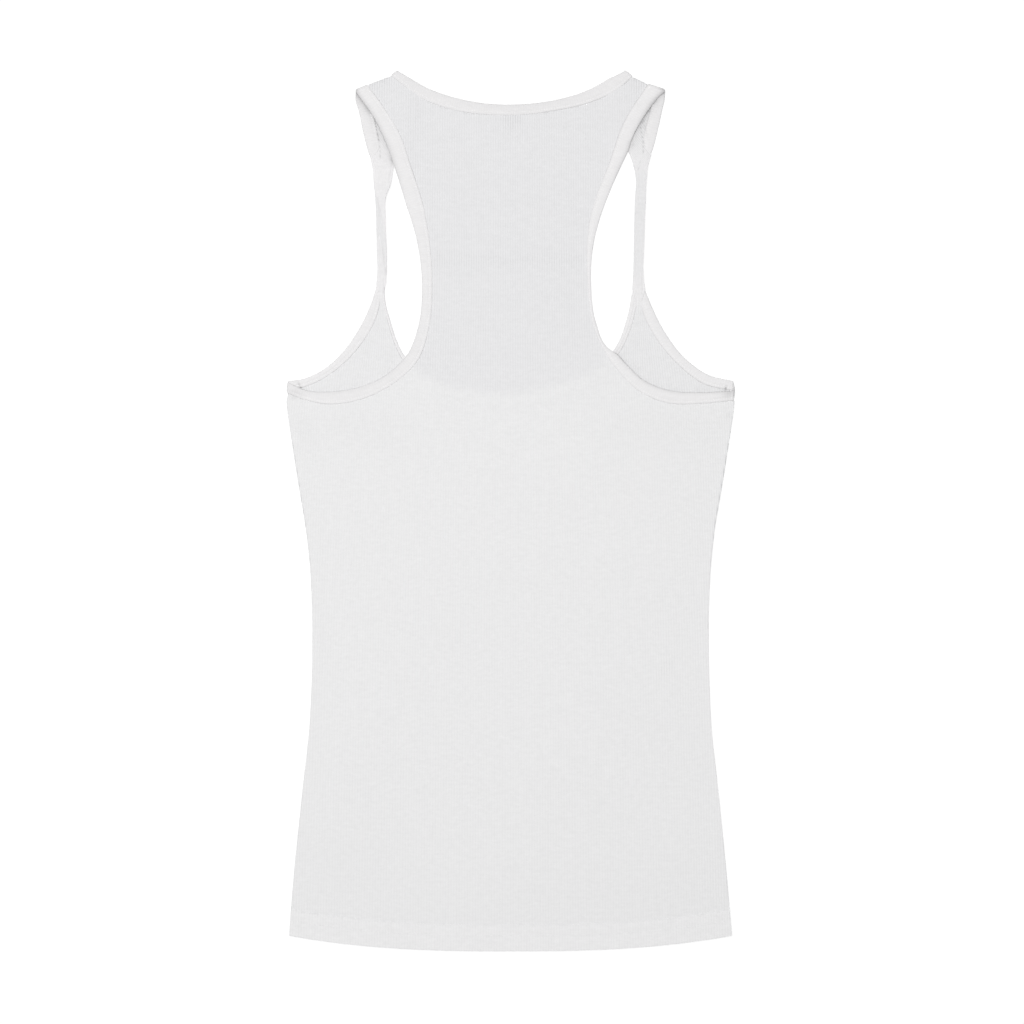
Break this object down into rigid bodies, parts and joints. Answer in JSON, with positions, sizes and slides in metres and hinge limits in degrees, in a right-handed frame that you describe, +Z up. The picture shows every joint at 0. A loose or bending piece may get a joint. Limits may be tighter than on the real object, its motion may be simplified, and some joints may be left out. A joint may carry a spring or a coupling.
{
  "type": "tank top",
  "caption": "Sleeveless rib-knit tank top with a racer back, bound scoop neck and bound armholes, laid flat with its back upwards.",
  "frame": {"origin": "centre of the laid garment's outline, on the surface it lies on", "axes": "+Y from the hem to the neck, +Z up from the surface, so the garment's back faces +Z and +X is the wearer's right"},
  "size_m": [0.3465, 0.6802, 0.004],
  "materials": {
    "rib_knit": "matt fine rib, white",
    "rib_binding": "matt fine rib across the tape, white"
  },
  "bodies": {
    "root": {"back_panel": "rib_knit", "front_panel": "rib_knit", "neck_binding": "rib_binding", "armhole_binding_left": "rib_binding", "armhole_binding_right": "rib_binding"}
  },
  "joints": []
}
